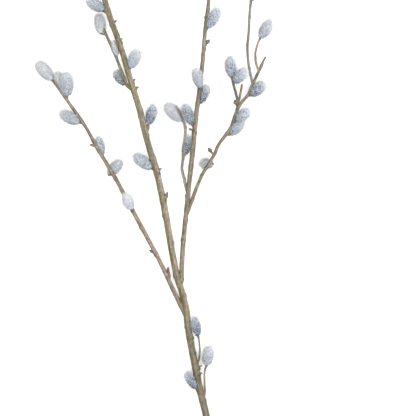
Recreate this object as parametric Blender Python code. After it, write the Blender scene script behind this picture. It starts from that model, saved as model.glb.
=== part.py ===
"""A cut pussy willow branch, lying as it rests on a flat surface.

The branch is laid out in millimetres on a life-size grid: x to the right, y up the branch, z above the surface.
Each leafy stem is one closed body: a tapered tube along its route, with its twigs, catkins and buds grown into it.
"""

import math

import bmesh
import bpy
from mathutils import Vector

MM = 0.001

# The point of the grid that lies under the middle of the branch's own box
BOX_MIDDLE = (151.3, 288.7)

# Tubes: a ring of sides every few millimetres, with fewer sides on thin twigs
RING_EVERY = 9.0
STEM_SIDES = 8
TWIG_SIDES = 6
THIN_BELOW = 3.0

# Catkins: rows of raised scales round an egg that is fullest below its middle
CATKIN_WIDTH = 12.0
CATKIN_LENGTH = 20.0
CATKIN_SIDES = 10
CATKIN_ROWS = 7
FIRST_ROW = 0.08
LAST_ROW = 0.92
EGG_SKEW = 0.88
EGG_BLUNTNESS = 0.62
SCALE_RELIEF = 0.05

# Buds and stalks: share of the length against share of the half width
BUD_SIDES = 6
BUD_PROFILE = ((0.0, 0.9), (0.35, 0.8), (0.7, 1.0), (0.9, 0.75))
STALK_PROFILE = ((0.0, 1.15), (1.0, 1.0))
STALK_SHARE = 0.21
STALK_BACK = 2.5
STALK_DEPTH = 0.18

# Towards the tips the catkins alternate from side to side up the stem, each a little smaller than the last
CATKIN_SPACING = 33.0
CATKIN_LEAN = math.radians(38.0)
CATKIN_RISE = 0.08
CATKIN_SHRINK = 0.04
CATKIN_FOOT = 2.4
MAIN_STEM_TOP = (452, 590)
RIGHT_SHOOT_TOP = (441, 541)

# Each shoot is seated on its parent with a hairline gap, and three low spots are pressed flat by the weight
SEAT_GAP = 0.3
CUT_SLANT = math.radians(35.0)
SURFACE_CORNERS = ((0.0, -80.0), (300.0, 660.0))
SURFACE_DEPTH = 20.0
CREASE_ANGLE = math.radians(40.0)

# Bark colours
OLIVE_BARK = (0.23, 0.20, 0.13)
TAN_BARK = (0.36, 0.28, 0.18)
MAUVE_BARK = (0.30, 0.25, 0.18)
GREEN_BARK = (0.22, 0.22, 0.12)
BARK_ROUGHNESS = 0.7

# Routes: x, y, height of the axis and thickness
MAIN_STEM = [
    (214, -54, 3.2, 7.0), (209.5, -20, 3.2, 6.9), (206.5, 0, 3.9, 6.8), (200.5, 26, 6.0, 6.5),
    (196.5, 46, 8.0, 6.6), (192, 66, 10.0, 6.4), (188.5, 86, 12.0, 6.6), (186, 106, 14.0, 6.2),
    (182, 124, 15.6, 5.8), (178, 136, 16.5, 5.8), (175.3, 147, 17.0, 5.6), (171.8, 166, 18.0, 5.7),
    (167.7, 191, 19.0, 5.8), (163, 216, 19.6, 5.8), (156.3, 246, 20.2, 5.6), (147.3, 276, 20.7, 5.6),
    (139.8, 306, 21.0, 5.6), (130.5, 336, 21.0, 5.5), (121.8, 366, 20.6, 5.4), (111.3, 396, 20.0, 5.4),
    (105, 416, 19.6, 5.3), (95, 446, 19.0, 5.0), (84, 480, 18.0, 4.5), (72, 515, 16.5, 3.9),
    (60, 548, 14.6, 3.2), (50, 575, 13.0, 2.6), (42, 600, 11.8, 2.1), (38, 616, 11.2, 1.8),
]
LOW_TWIG = [
    (201, 12, 5.5, 2.2), (204.6, 21, 8.0, 1.9), (204.6, 32, 8.8, 1.7), (204.6, 43, 9.2, 1.7),
    (206.2, 51, 9.6, 1.8),
]
UPRIGHT_TWIG = [
    (195.5, 46, 8.2, 2.2), (199, 57, 11.0, 1.8), (199.8, 66, 12.2, 1.6), (199.2, 74, 12.8, 1.6),
    (198.2, 81, 13.0, 1.8),
]
LEFT_SHOOT = [
    (187.5, 97, 13.5, 4.6), (183, 106, 14.2, 4.8), (173.5, 126, 15.2, 4.6), (159.5, 156, 16.4, 4.3),
    (143.5, 186, 17.4, 4.1), (128, 214, 18.0, 3.8), (116.5, 236, 18.0, 3.5), (98.5, 266, 17.4, 3.1),
    (85, 290, 16.2, 2.9), (73, 307, 14.2, 2.8), (62, 322, 11.4, 2.6), (52.5, 335.5, 8.2, 2.5),
]
RIGHT_SHOOT = [
    (180.2, 127, 16.0, 4.0), (181.4, 136, 16.8, 4.2), (181.9, 152, 17.8, 4.4), (183.5, 176, 18.8, 4.6),
    (186.3, 206, 19.8, 4.6), (189.5, 236, 21.2, 4.7), (193, 266, 22.2, 4.8), (195.7, 296, 22.6, 4.6),
    (199.6, 326, 22.4, 4.2), (203, 356, 21.8, 3.9), (205.5, 386, 21.0, 3.7), (209, 416, 20.2, 3.6),
    (212, 446, 19.2, 3.4), (214, 476, 18.0, 3.1), (214.5, 506, 16.4, 2.7), (213, 534, 14.6, 2.2),
    (211, 560, 13.2, 1.8),
]
UPPER_TWIG = [
    (133.5, 325, 21.0, 2.8), (127.5, 330, 20.4, 2.8), (125, 336, 19.8, 2.7), (121, 346, 18.8, 2.6),
    (116, 359, 17.4, 2.5), (109, 375, 15.6, 2.5), (103.8, 387, 14.2, 2.4),
]
WAVY_TWIG = [
    (188.6, 220, 20.2, 2.6), (186.2, 228, 19.2, 2.6), (184.6, 237, 17.8, 2.6), (182.4, 247, 16.0, 2.5),
    (183.4, 258, 14.4, 2.5), (183.2, 267, 13.4, 2.4), (184.8, 278, 12.6, 2.4), (185.2, 287, 12.2, 2.4),
    (184, 294, 12.6, 2.3), (181, 300, 15.4, 2.0), (178.4, 306, 17.2, 1.8), (176.4, 310, 17.8, 1.6),
]
SIDE_SHOOT = [
    (186.8, 202, 19.6, 3.4), (189.5, 211, 19.2, 3.5), (194.5, 225, 18.4, 3.3), (201.5, 241.5, 17.0, 3.1),
    (208.5, 253, 15.8, 3.0), (214, 263, 15.0, 2.9), (218, 272, 14.4, 2.9), (226, 282.5, 13.6, 3.2),
    (231, 290, 13.0, 3.1), (235, 302, 12.4, 3.0), (239.5, 312, 11.9, 2.9), (247, 321, 11.5, 2.6),
    (252, 332, 11.2, 2.5), (258.5, 345, 10.8, 2.4), (263, 355, 10.6, 2.1), (265, 359, 10.6, 1.8),
]
SIDE_ARM = [(239, 310, 12.0, 2.2), (237, 319, 12.4, 2.2), (233.5, 332, 13.0, 2.2), (231.6, 340, 13.4, 2.0)]
SPUR = [(238.4, 312, 12.0, 1.9), (240.5, 323, 12.6, 1.8), (242, 331, 13.0, 1.9)]
END_TWIG = [
    (258.8, 345.5, 10.8, 1.8), (256.2, 353, 10.4, 1.8), (255.7, 362, 9.8, 1.8), (257.5, 371, 9.2, 1.7),
    (260.5, 379, 8.8, 1.7),
]
LONG_TWIG = [
    (253.4, 330, 11.2, 2.4), (251.6, 338, 11.0, 2.4), (249, 351, 10.5, 2.4), (247.6, 367, 9.9, 2.4),
    (248.4, 384, 9.2, 2.4), (249.6, 402, 8.5, 2.3), (251.5, 422, 7.8, 2.2), (253.4, 446, 7.1, 2.0),
    (254.2, 470, 6.5, 1.9), (253.8, 492, 6.0, 1.7), (252, 512, 5.6, 1.6),
]

# Catkins: base, tip and width
MAIN_CATKINS = [
    ((196, 27, 7.5), (185.5, 43, 8.6), 10.5),
    ((206.3, 50, 9.6), (209.6, 70, 11.0), 12.5),
    ((198.2, 80, 13.0), (193.8, 100, 17.5), 10.5),
    ((151.8, 247.5, 20.2), (133.5, 261.5, 19.0), 13.0),
    ((147.5, 290, 21.0), (153.5, 311.5, 20.0), 11.5),
    ((130, 348, 21.0), (139, 366.5, 23.0), 13.0),
    ((104, 405.5, 21.4), (86.5, 417, 25.0), 13.0),
    ((38, 615, 11.2), (33, 634, 10.4), 11.0),
]
LEFT_CATKINS = [
    ((53, 335, 7.6), (36.5, 354.5, 5.5), 13.0),
    ((64, 327.5, 10.5), (56, 345, 7.0), 11.0),
    ((66.6, 320, 13.4), (67, 344, 17.0), 13.0),
    ((79.5, 293.5, 15.4), (59.5, 303.5, 14.2), 13.0),
    ((102, 260, 14.5), (97.5, 280, 11.6), 10.5),
    ((108.5, 241, 14.5), (121, 256, 10.8), 12.0),
    ((131.5, 206.5, 20.0), (125, 222.5, 25.0), 12.0),
]
RIGHT_CATKINS = [
    ((192.4, 291, 23.0), (184, 312, 25.5), 12.0),
    ((200.3, 328, 24.5), (195, 348, 29.5), 11.5),
    ((201, 313, 21.0), (207.5, 331.5, 18.6), 10.5),
    ((207.8, 388, 21.0), (219, 408, 20.0), 12.5),
    ((211, 558, 13.2), (208, 578, 12.2), 11.0),
]
UPPER_CATKINS = [
    ((101, 382.5, 13.6), (98.5, 402.5, 10.0), 12.0),
    ((117, 359.5, 17.0), (113, 376, 15.6), 8.5),
    ((125.2, 331.5, 17.0), (114, 345, 12.0), 11.0),
]
WAVY_CATKINS = [
    ((182, 295.5, 11.8), (165.5, 312, 10.0), 14.0),
    ((184.8, 261, 13.0), (189.8, 281, 12.0), 10.0),
]
SIDE_CATKINS = [
    ((214, 254, 12.0), (199.5, 252, 9.0), 10.0),
    ((231, 281.5, 12.0), (243, 297.5, 8.6), 13.0),
    ((236.6, 295.5, 13.4), (250, 306.5, 17.0), 12.0),
    ((234.4, 333.5, 13.4), (246.5, 347.5, 16.0), 12.0),
    ((231.4, 339.5, 13.2), (229.5, 360, 11.0), 12.0),
    ((251, 321, 11.0), (265, 334, 9.0), 13.0),
    ((260.5, 378.5, 8.8), (271.5, 396.5, 8.0), 12.5),
]
LONG_CATKINS = [
    ((251.4, 416, 8.2), (258, 434, 8.4), 11.0),
    ((254, 452, 6.8), (245, 467, 7.2), 10.5),
    ((254, 482, 6.2), (263, 498, 6.6), 10.5),
    ((252, 511, 5.6), (250, 530, 5.0), 11.0),
]

# Buds, stubs and thorns: root, tip and width
MAIN_BUDS = [
    ((198, 48, 9.0), (202, 50, 10.0), 1.8),
    ((198.5, 42, 9.0), (202.3, 42.4, 10.0), 1.6),
    ((166.5, 213, 20.5), (167.3, 223.5, 22.0), 2.6),
    ((134.5, 327, 21.0), (138.6, 328.5, 21.5), 2.4),
    ((132, 334, 21.0), (135.2, 336.5, 22.0), 2.2),
    ((119.6, 374, 20.6), (122.4, 377.5, 21.0), 2.0),
    ((112.5, 392, 20.0), (117, 395.5, 20.5), 2.4),
]
LEFT_BUDS = [
    ((96, 270, 17.2), (90, 271.4, 17.4), 2.6),
    ((156, 162, 16.6), (149.6, 166, 17.0), 2.4),
    ((169, 139, 15.8), (168.2, 149, 17.6), 2.6),
]
RIGHT_BUDS = [
    ((194.6, 284, 22.6), (189.6, 287, 22.6), 1.9),
    ((204.5, 368, 21.4), (209, 375.4, 22.4), 2.8),
    ((208, 394, 20.6), (204.4, 399, 21.0), 2.0),
]
SIDE_BUDS = [
    ((213.6, 261, 15.2), (208.4, 267.6, 16.4), 3.0),
    ((237.8, 308, 12.4), (235, 315, 14.0), 3.2),
]


def point(values):
    """A place on the life-size grid, in metres in the branch's own frame."""
    return Vector(((values[0] - BOX_MIDDLE[0]) * MM, (values[1] - BOX_MIDDLE[1]) * MM, values[2] * MM))


def smooth_route(route):
    """Points and widths along a curve that passes through every point of a route."""
    places = [point(values) for values in route]
    widths = [values[3] * MM for values in route]
    places = [2 * places[0] - places[1]] + places + [2 * places[-1] - places[-2]]
    line = []
    for i in range(1, len(places) - 2):
        before, start, end, after = places[i - 1:i + 3]
        steps = max(1, round((end - start).length / (RING_EVERY * MM)))
        for step in range(steps):
            t = step / steps
            bend = 2 * start + (end - before) * t
            bend += (2 * before - 5 * start + 4 * end - after) * t ** 2
            bend += (3 * start - before - 3 * end + after) * t ** 3
            line.append((bend / 2, widths[i - 1] * (1 - t) + widths[i] * t))
    line.append((places[-2], widths[-1]))
    return line


def rings_to_object(name, rings, start_cap=None, end_cap=None):
    """A closed skin over rings of points, with flat ends or with a point at either end."""
    mesh = bpy.data.meshes.new(name)
    body = bmesh.new()
    loops = [[body.verts.new(place) for place in ring] for ring in rings]
    for lower, upper in zip(loops, loops[1:]):
        count = len(lower)
        for i in range(count):
            j = (i + 1) % count
            body.faces.new((lower[i], lower[j], upper[j], upper[i]))
    for loop, cap in ((loops[0][::-1], start_cap), (loops[-1], end_cap)):
        if cap is None:
            body.faces.new(loop)
            continue
        peak = body.verts.new(cap)
        for i, corner in enumerate(loop):
            body.faces.new((corner, loop[(i + 1) % len(loop)], peak))
    bmesh.ops.recalc_face_normals(body, faces=body.faces)
    body.to_mesh(mesh)
    body.free()
    made = bpy.data.objects.new(name, mesh)
    bpy.context.scene.collection.objects.link(made)
    return made


def tube(name, route, swell=0.0, slant=0.0):
    """A tapered stem along a route. swell widens it, slant leans its first ring as a knife cuts it."""
    line = smooth_route(route)
    sides = STEM_SIDES if max(width for _, width in line) > THIN_BELOW * MM else TWIG_SIDES
    heading = (line[1][0] - line[0][0]).normalized()
    across = heading.cross(Vector((0, 0, 1))).normalized()
    rings = []
    for i, (place, width) in enumerate(line):
        ahead = line[min(i + 1, len(line) - 1)][0]
        behind = line[max(i - 1, 0)][0]
        heading = (ahead - behind).normalized()
        across = (across - across.dot(heading) * heading).normalized()
        up = across.cross(heading)
        radius = width / 2 + swell * MM
        ring = []
        for k in range(sides):
            angle = math.tau * (k + 0.5) / sides
            offset = across * math.cos(angle) + up * math.sin(angle)
            lean = heading * math.tan(slant) * math.cos(angle) if i == 0 else Vector()
            ring.append(place + radius * (offset + lean))
        rings.append(ring)
    return rings_to_object(name, rings)


def turned(name, start, end, profile, width, sides, pointed_foot=False, pointed_tip=False, relief=0.0):
    """A body turned about the line from start to end. relief raises every other facet, in a spiral."""
    heading = (end - start).normalized()
    across = heading.cross(Vector((0, 0, 1))).normalized()
    up = heading.cross(across)
    rings = []
    for row, (share, fullness) in enumerate(profile):
        ring = []
        for k in range(sides):
            angle = math.tau * (k + 0.5 * (row % 2)) / sides
            raised = 1 + relief * (1 if (k + row // 2) % 2 else -1)
            offset = across * math.cos(angle) + up * math.sin(angle)
            ring.append(start.lerp(end, share) + offset * (fullness * raised * width / 2 * MM))
        rings.append(ring)
    return rings_to_object(name, rings, start if pointed_foot else None, end if pointed_tip else None)


def catkin(name, base, tip, width):
    """An egg of raised scales."""
    profile = []
    for row in range(CATKIN_ROWS):
        share = FIRST_ROW + (LAST_ROW - FIRST_ROW) * row / (CATKIN_ROWS - 1)
        profile.append((share, math.sin(math.pi * share ** EGG_SKEW) ** EGG_BLUNTNESS))
    return turned(name, point(base), point(tip), profile, width, CATKIN_SIDES, True, True, SCALE_RELIEF)


def bud(name, root, tip, width):
    """A short plump bud, sunk into the stem at its root."""
    return turned(name, point(root), point(tip), BUD_PROFILE, width, BUD_SIDES, pointed_tip=True)


def stalk(name, stem_points, base, tip, width):
    """The short stalk from the stem's middle into the foot of a catkin."""
    start, end = point(base), point(tip)
    heading = (end - start).normalized()
    behind = start - heading * STALK_BACK * MM
    root = min(stem_points, key=lambda place: (place - behind).length)
    return turned(name, root, start.lerp(end, STALK_DEPTH), STALK_PROFILE, width * STALK_SHARE, BUD_SIDES)


def points_along(route):
    """A point about every millimetre along a stem's middle."""
    line = smooth_route(route)
    points = []
    for (start, _), (end, _) in zip(line, line[1:]):
        steps = math.ceil((end - start).length / MM)
        points += [start.lerp(end, step / steps) for step in range(steps)]
    return points


def alternate_catkins(route, first_y, last_y):
    """Catkins on alternate sides of a stem, leaning out from it, one at every spacing up the grid."""
    stem_points = points_along(route)
    placed = []
    for i in range(int((last_y - first_y) / CATKIN_SPACING) + 1):
        y = first_y + i * CATKIN_SPACING
        place = min(stem_points, key=lambda p: abs(p.y - point((0, y, 0)).y)) / MM
        side = 1 if i % 2 else -1
        size = 1 - CATKIN_SHRINK * i
        base = Vector((place.x + BOX_MIDDLE[0] + side * CATKIN_FOOT, y, place.z))
        lean = Vector((side * math.sin(CATKIN_LEAN), math.cos(CATKIN_LEAN), CATKIN_RISE))
        placed.append((base, base + lean * CATKIN_LENGTH * size, CATKIN_WIDTH * size))
    return placed


def join_all(stem, parts):
    """Grow the parts into the stem by one union, and remove them."""
    grown = bpy.data.collections.new(stem.name + "_parts")
    bpy.context.scene.collection.children.link(grown)
    for part in parts:
        bpy.context.scene.collection.objects.unlink(part)
        grown.objects.link(part)
    union = stem.modifiers.new("grown together", "BOOLEAN")
    union.operation = "UNION"
    union.operand_type = "COLLECTION"
    union.collection = grown
    union.solver = "EXACT"
    apply_modifiers(stem)
    for part in list(grown.objects):
        bpy.data.objects.remove(part, do_unlink=True)
    bpy.data.collections.remove(grown)


def cut_away(body, cutter):
    """Take a cutter's shape out of a body, and remove the cutter."""
    cut = body.modifiers.new("cut", "BOOLEAN")
    cut.operation = "DIFFERENCE"
    cut.object = cutter
    cut.solver = "EXACT"
    apply_modifiers(body)
    bpy.data.objects.remove(cutter, do_unlink=True)


def apply_modifiers(body):
    """Keep the shape that the modifiers give, without loose scraps."""
    graph = bpy.context.evaluated_depsgraph_get()
    mesh = bpy.data.meshes.new_from_object(body.evaluated_get(graph))
    body.modifiers.clear()
    body.data = mesh
    keep_largest_body(mesh)


def keep_largest_body(mesh):
    """Drop every piece of a mesh that isn't joined to its largest one."""
    body = bmesh.new()
    body.from_mesh(mesh)
    left = set(body.verts)
    groups = []
    while left:
        group = set()
        edge = [left.pop()]
        while edge:
            corner = edge.pop()
            group.add(corner)
            for link in corner.link_edges:
                other = link.other_vert(corner)
                if other in left:
                    left.remove(other)
                    edge.append(other)
        groups.append(group)
    largest = max(groups, key=len)
    loose = [corner for group in groups if group is not largest for corner in group]
    bmesh.ops.delete(body, geom=loose, context="VERTS")
    body.to_mesh(mesh)
    body.free()


def surface_slab():
    """What the branch lies on, as a cutter below the height of nought."""
    (left, near), (right, far) = SURFACE_CORNERS
    rings = []
    for height in (-SURFACE_DEPTH, 0.0):
        rings.append([point((x, y, height)) for x, y in ((left, near), (right, near), (right, far), (left, far))])
    return rings_to_object("surface", rings)


def bark(name, colour):
    """A dry, slightly rough bark."""
    material = bpy.data.materials.new(name)
    material.use_nodes = True
    shader = material.node_tree.nodes["Principled BSDF"]
    shader.inputs["Base Color"].default_value = (*colour, 1.0)
    shader.inputs["Roughness"].default_value = BARK_ROUGHNESS
    shader.inputs["Metallic"].default_value = 0.0
    return material


def leafy_stem(name, route, catkins, buds=(), twigs=(), colour=OLIVE_BARK, slant=0.0):
    """One closed body: a stem with everything that grows on it."""
    stem = tube(name, route, slant=slant)
    stem_points = [place for way in (route, *twigs) for place in points_along(way)]
    parts = [tube(name + "_twig", way) for way in twigs]
    for base, tip, width in catkins:
        parts.append(catkin(name + "_catkin", base, tip, width))
        parts.append(stalk(name + "_stalk", stem_points, base, tip, width))
    for root, tip, width in buds:
        parts.append(bud(name + "_bud", root, tip, width))
    join_all(stem, parts)
    stem.data.materials.clear()
    stem.data.materials.append(bark(name + "_bark", colour))
    return stem


def seat_on(shoot, parent_route):
    """Hollow the foot of a shoot to its parent's bark."""
    cut_away(shoot, tube("seat", parent_route, SEAT_GAP))


def shade(stem):
    """Smooth skin with its creases kept."""
    stem.data.shade_smooth()
    stem.data.set_sharp_from_angle(angle=CREASE_ANGLE)


for old in list(bpy.data.objects):
    bpy.data.objects.remove(old, do_unlink=True)

main_catkins = MAIN_CATKINS + alternate_catkins(MAIN_STEM, *MAIN_STEM_TOP)
main_twigs = (LOW_TWIG, UPRIGHT_TWIG)
main_stem = leafy_stem("main_stem", MAIN_STEM, main_catkins, MAIN_BUDS, main_twigs, slant=CUT_SLANT)
cut_away(main_stem, surface_slab())

left_shoot = leafy_stem("left_shoot", LEFT_SHOOT, LEFT_CATKINS, LEFT_BUDS, colour=TAN_BARK)
seat_on(left_shoot, MAIN_STEM)
cut_away(left_shoot, surface_slab())

right_catkins = RIGHT_CATKINS + alternate_catkins(RIGHT_SHOOT, *RIGHT_SHOOT_TOP)
right_shoot = leafy_stem("right_shoot", RIGHT_SHOOT, right_catkins, RIGHT_BUDS, colour=MAUVE_BARK)
seat_on(right_shoot, MAIN_STEM)

upper_twig = leafy_stem("upper_twig", UPPER_TWIG, UPPER_CATKINS)
seat_on(upper_twig, MAIN_STEM)

wavy_twig = leafy_stem("wavy_twig", WAVY_TWIG, WAVY_CATKINS)
seat_on(wavy_twig, RIGHT_SHOOT)

side_twigs = (SIDE_ARM, SPUR, END_TWIG)
side_shoot = leafy_stem("side_shoot", SIDE_SHOOT, SIDE_CATKINS, SIDE_BUDS, side_twigs, MAUVE_BARK)
seat_on(side_shoot, RIGHT_SHOOT)

long_twig = leafy_stem("long_twig", LONG_TWIG, LONG_CATKINS, colour=GREEN_BARK)
seat_on(long_twig, SIDE_SHOOT)
cut_away(long_twig, surface_slab())

for stem in (main_stem, left_shoot, right_shoot, upper_twig, wavy_twig, side_shoot, long_twig):
    shade(stem)
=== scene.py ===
import math

import bpy
import numpy as np
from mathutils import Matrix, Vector, noise


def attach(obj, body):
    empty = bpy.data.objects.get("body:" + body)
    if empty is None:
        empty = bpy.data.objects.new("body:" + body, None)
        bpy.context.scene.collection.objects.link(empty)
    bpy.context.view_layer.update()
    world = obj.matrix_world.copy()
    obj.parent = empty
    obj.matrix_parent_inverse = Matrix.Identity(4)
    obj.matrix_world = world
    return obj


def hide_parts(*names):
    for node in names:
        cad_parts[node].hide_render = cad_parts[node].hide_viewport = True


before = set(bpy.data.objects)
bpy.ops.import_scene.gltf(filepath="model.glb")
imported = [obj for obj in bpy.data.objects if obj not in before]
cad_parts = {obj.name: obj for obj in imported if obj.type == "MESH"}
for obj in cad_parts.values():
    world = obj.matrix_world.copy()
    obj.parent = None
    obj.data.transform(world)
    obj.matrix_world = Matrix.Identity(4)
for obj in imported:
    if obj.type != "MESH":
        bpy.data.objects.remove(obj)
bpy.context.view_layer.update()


# The picture: the cut branch lies on a clean white table and is looked at from straight above, through a
# long lens. A wide soft box hangs over the table, a low soft lamp stands at the right, and pale walls light
# the rest.
MM = 0.001
GRID_MIDDLE = (151.3, 288.7)
PICTURE_WIDTH = 416 * MM
PICTURE_MIDDLE = (208, 208)
BRANCH_HEIGHT = 16 * MM
CAMERA_HEIGHT = 3.0
CAMERA_REACH = 100.0
SENSOR = 36.0
TABLE_SIZE = 60.0
TABLE_WHITE = (0.93, 0.93, 0.93)
TABLE_ROUGHNESS = 0.9
WALL_LIGHT = 0.68
SOFT_BOX = {"place": (0.0, 0.0, 3.9), "size": 5.0, "watts": 275.0}
LOW_LAMP = {"place": (1.9, 0.6, 1.0), "size": 1.0, "watts": 23.0}


def on_branch(x, y, z=0.0):
    """A place on the branch's life-size grid, in metres in the frame."""
    return Vector(((x - GRID_MIDDLE[0]) * MM, (y - GRID_MIDDLE[1]) * MM, z * MM))


def look_from_above():
    eye = bpy.data.objects.new("camera", bpy.data.cameras.new("camera"))
    eye.location = on_branch(*PICTURE_MIDDLE) + Vector((0, 0, CAMERA_HEIGHT))
    eye.data.sensor_width = SENSOR
    eye.data.lens = SENSOR * (CAMERA_HEIGHT - BRANCH_HEIGHT) / PICTURE_WIDTH
    eye.data.clip_end = CAMERA_REACH
    bpy.context.scene.collection.objects.link(eye)
    bpy.context.scene.camera = eye


def white_table():
    half = TABLE_SIZE / 2
    corners = [(-half, -half, 0), (half, -half, 0), (half, half, 0), (-half, half, 0)]
    mesh = bpy.data.meshes.new("table")
    mesh.from_pydata(corners, [], [(0, 1, 2, 3)])
    table = bpy.data.objects.new("table", mesh)
    bpy.context.scene.collection.objects.link(table)
    paint = bpy.data.materials.new("table white")
    paint.use_nodes = True
    shader = paint.node_tree.nodes["Principled BSDF"]
    shader.inputs["Base Color"].default_value = (*TABLE_WHITE, 1)
    shader.inputs["Roughness"].default_value = TABLE_ROUGHNESS
    shader.inputs["Specular IOR Level"].default_value = 0.0
    mesh.materials.append(paint)
    table.visible_diffuse = False


def light_the_room():
    room = bpy.data.worlds.new("pale room")
    room.use_nodes = True
    room.node_tree.nodes["Background"].inputs["Color"].default_value = (1, 1, 1, 1)
    room.node_tree.nodes["Background"].inputs["Strength"].default_value = WALL_LIGHT
    bpy.context.scene.world = room
    middle = on_branch(*PICTURE_MIDDLE)
    for number, light in enumerate((SOFT_BOX, LOW_LAMP), 1):
        lamp = bpy.data.lights.new(f"soft lamp {number}", "AREA")
        lamp.shape = "SQUARE"
        lamp.size = light["size"]
        lamp.energy = light["watts"]
        holder = bpy.data.objects.new(lamp.name, lamp)
        holder.location = middle + Vector(light["place"])
        holder.rotation_euler = (-Vector(light["place"])).to_track_quat("-Z", "Y").to_euler()
        bpy.context.scene.collection.objects.link(holder)
    bpy.context.scene.view_settings.view_transform = "Standard"


look_from_above()
white_table()
light_the_room()


# The main stem: willow wood from the slanting cut, up through both forks, to the tip of the left leader. It
# has a short upright twig, a burl and a stub. Its olive bark has mauve and grey streaks, fine ridges and
# dark knots, and its catkins and the low twig's one stand on short stalks of that bark.

# How finely a skin is made, and how its ends are cut or rounded and it is pressed on the table.
BARK_STEP = 1.5
FINE_STEP = 1.0
BARK_SIDES = 24
TWIG_SIDES = 14
THIN_BELOW = 3.0
PRESSED = 0.03
CUT_SLANT = math.radians(35.0)
ROUNDED_END = ((0.3, 0.8), (0.5, 0.42))
SEED_STEP = 3.7
GRAIN_SHIFT = 40

# Lumps and ridges, as shares of the radius, with how long each is in millimetres.
LUMP = 0.08
LUMP_LENGTH = 7
RIDGE = 0.07
RIDGE_LENGTH = 18
RIDGES_ROUND = 4

# Knots: one under each foot, and others on alternate sides between.
FOOT_REACH = 1.6
FOOT_DROP = 1.0
KNOT_SPACING = 27.0
KNOT_START = 0.55
KNOT_SCATTER = 0.4
KNOT_TURN = 1.3
KNOT_CLEARANCE = 5
KNOT_SIZE = 0.75
KNOT_RISE = 0.6 * MM
KNOT_LENGTH = 1.6
KNOT_WRAP = 1.1
KNOT_SWELLING = 0.06
KNOT_REACH = 3 * KNOT_LENGTH
KNOT_PLACES = (3.7, 0.5)
KNOT_TURNS = (2.9, 4.5)
FULL_KNOT_RADIUS = 2 * MM
SCAR_ROUND = 0.25
SCAR_FRONT = 0.4
SCAR_WRAP = 0.7
SCAR_TIGHTNESS = 1.7

# A stalk's widths at its root, neck and foot, as shares of its catkin's width.
STALK_WIDTHS = (0.17, 0.15, 0.17)
STALK_BACK = 2.6
STALK_NECK = 0.4
STALK_DIP = 0.3

# Each point of a route is x, y and height on the branch's grid, and the stem's width there, in millimetres.
MAIN_STEM = [
    (214, -54, 3.4, 7.7), (209.3, -20, 3.4, 7.5), (206.2, 0, 3.9, 7.4), (199.8, 26, 6, 7.1),
    (196, 46, 8, 7.2), (191.9, 66, 10, 7), (188.5, 86, 12, 7.2), (186, 106, 14, 7),
    (182, 124, 15.6, 6.4), (178, 136, 16.5, 6.5), (175.3, 147, 17, 6.5), (171.7, 166, 18, 6.6),
    (167.6, 191, 19, 6.8), (162.9, 216, 19.6, 6.8), (156.2, 246, 20.2, 6.5), (147.1, 276, 20.7, 6.4),
    (139.8, 306, 21, 6.2), (130.4, 336, 21, 5.9), (121.7, 366, 20.6, 5.8), (111.1, 396, 20, 5.9),
    (104.8, 416, 19.6, 5.7), (95, 446, 19, 5.3), (84, 480, 18, 4.8), (72, 515, 16.5, 4.1),
    (60, 548, 14.6, 3.4), (50, 575, 13, 2.7), (42, 600, 11.8, 2.2), (38, 616, 11.2, 1.9),
]
LOW_TWIG = [
    (201, 12, 5.5, 2.4), (204.6, 21, 8.0, 2.2), (204.6, 32, 8.8, 2.1), (204.6, 43, 9.2, 2.1),
    (206.2, 51, 9.6, 2.0),
]
UPRIGHT_TWIG = [
    (195.5, 46, 8.2, 2.4), (199, 57, 11.0, 2.0), (199.8, 66, 12.2, 1.8), (199.2, 74, 12.8, 1.8),
    (198.2, 81, 13.0, 1.9),
]
BURL = [
    (107.2, 403.5, 20.0, 4.8), (105.7, 405.7, 20.4, 5.7), (104.2, 407.8, 20.7, 4.6), (103.4, 409, 20.8, 2.8),
]
STUB = [
    (146.2, 283.5, 20.6, 3.8), (147.2, 286.8, 20.7, 4.2), (148.1, 289.6, 20.8, 3.6), (148.6, 291, 20.8, 2.4),
]

# A catkin is its foot, its tip, its width and its coat. A bud is its root, its tip, its width and its form.
MAIN_CATKINS = [
    ((196, 27, 7.5), (185.5, 44, 8.6), 10.5, "dark"),
    ((206.3, 50, 9.6), (209.6, 70, 11.0), 12.5, "grey"),
    ((198.2, 80, 13.0), (193.8, 100, 17.5), 10.5, "dark"),
    ((151.8, 247.5, 20.2), (133.5, 261.5, 19.0), 13.0, "grey"),
    ((148.5, 291.5, 21.0), (154, 312, 20.0), 11.5, "dark"),
    ((130, 348, 21.0), (139, 366.5, 23.0), 13.0, "grey"),
    ((104, 405.5, 21.4), (86.5, 417, 25.0), 13.0, "blue"),
    ((38, 615, 11.2), (33, 634, 10.4), 11.0, "grey"),
]
MAIN_BUDS = [
    ((198, 48, 9.0), (202, 50, 10.0), 1.8, "thorn"),
    ((198.5, 42, 9.0), (202.3, 42.4, 10.0), 1.6, "thorn"),
    ((164.5, 216.3, 20.4), (167.4, 223.2, 22.0), 2.6, "curled"),
    ((157.5, 243.2, 20.6), (161.2, 247.6, 21.4), 2.3, "thorn"),
    ((134.5, 327, 21.0), (138.6, 328.5, 21.5), 2.4, "thorn"),
    ((132, 334, 21.0), (135.2, 336.5, 22.0), 2.2, "thorn"),
    ((119.6, 374, 20.6), (122.4, 377.5, 21.0), 2.0, "thorn"),
    ((112.5, 391.6, 20.0), (116.6, 395.2, 20.5), 2.4, "thorn"),
]

# Catkins near the tips of the two leaders, on alternate sides.
MAIN_STEM_TOP = (452, 590)
CATKIN_SPACING = 33.0
CATKIN_LEAN = math.radians(38.0)
CATKIN_RISE = 0.08
CATKIN_SHRINK = 0.04
CATKIN_FOOT = 2.4
CATKIN_LENGTH = 20.0
CATKIN_WIDTH = 12.0
TOP_COATS = ("grey", "blue", "white", "grey", "dark")

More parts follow.
